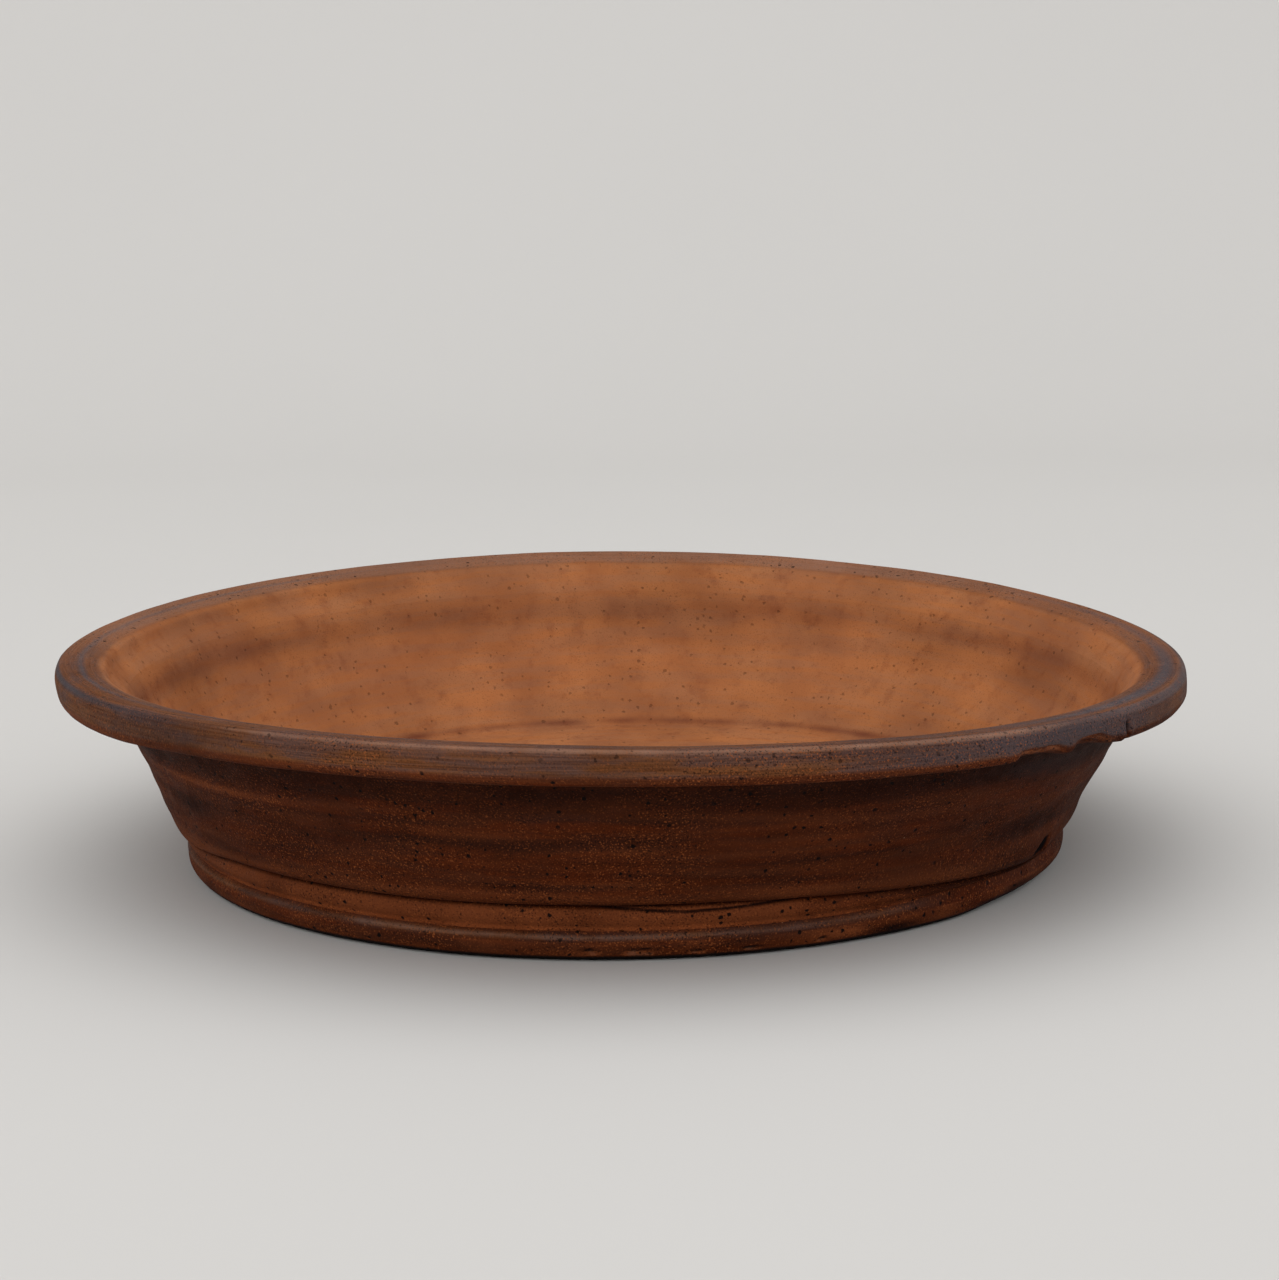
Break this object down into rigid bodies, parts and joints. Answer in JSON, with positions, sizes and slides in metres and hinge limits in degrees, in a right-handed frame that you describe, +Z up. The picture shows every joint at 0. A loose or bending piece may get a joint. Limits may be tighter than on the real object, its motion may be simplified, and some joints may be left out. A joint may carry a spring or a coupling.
{
  "type": "bonsai pot",
  "caption": "Round shallow stoneware bonsai tray with a rolled lip, flared wall and low foot ring, drain holes, mesh screens and bent wire clips.",
  "frame": {"origin": "middle of the rim in plan, on the surface that the foot ring stands on", "axes": "+Z up through the pot; -Y is the side that faces the viewer; the rim is lowest towards +X"},
  "size_m": [0.3317, 0.3292, 0.0653],
  "materials": {
    "foot_clay": "unglazed fired stoneware, dark brown with blue-grey flashing",
    "slab_clay": "unglazed fired stoneware, red-brown with black specks",
    "wall_clay": "unglazed fired stoneware, red-brown with throwing rings",
    "lip_clay": "unglazed fired stoneware, mauve-brown with blue-grey flashing",
    "screen_plastic": "dark green-black polyethylene mesh",
    "clip_wire": "soft bare aluminium wire, dull"
  },
  "bodies": {
    "root": {"foot_ring": "foot_clay", "base_slab": "slab_clay", "wall": "wall_clay", "lip": "lip_clay", "drain_screen_1": "screen_plastic", "drain_screen_2": "screen_plastic", "drain_screen_3": "screen_plastic", "wire_clip_1": "clip_wire", "wire_clip_2": "clip_wire", "wire_clip_3": "clip_wire"}
  },
  "joints": []
}
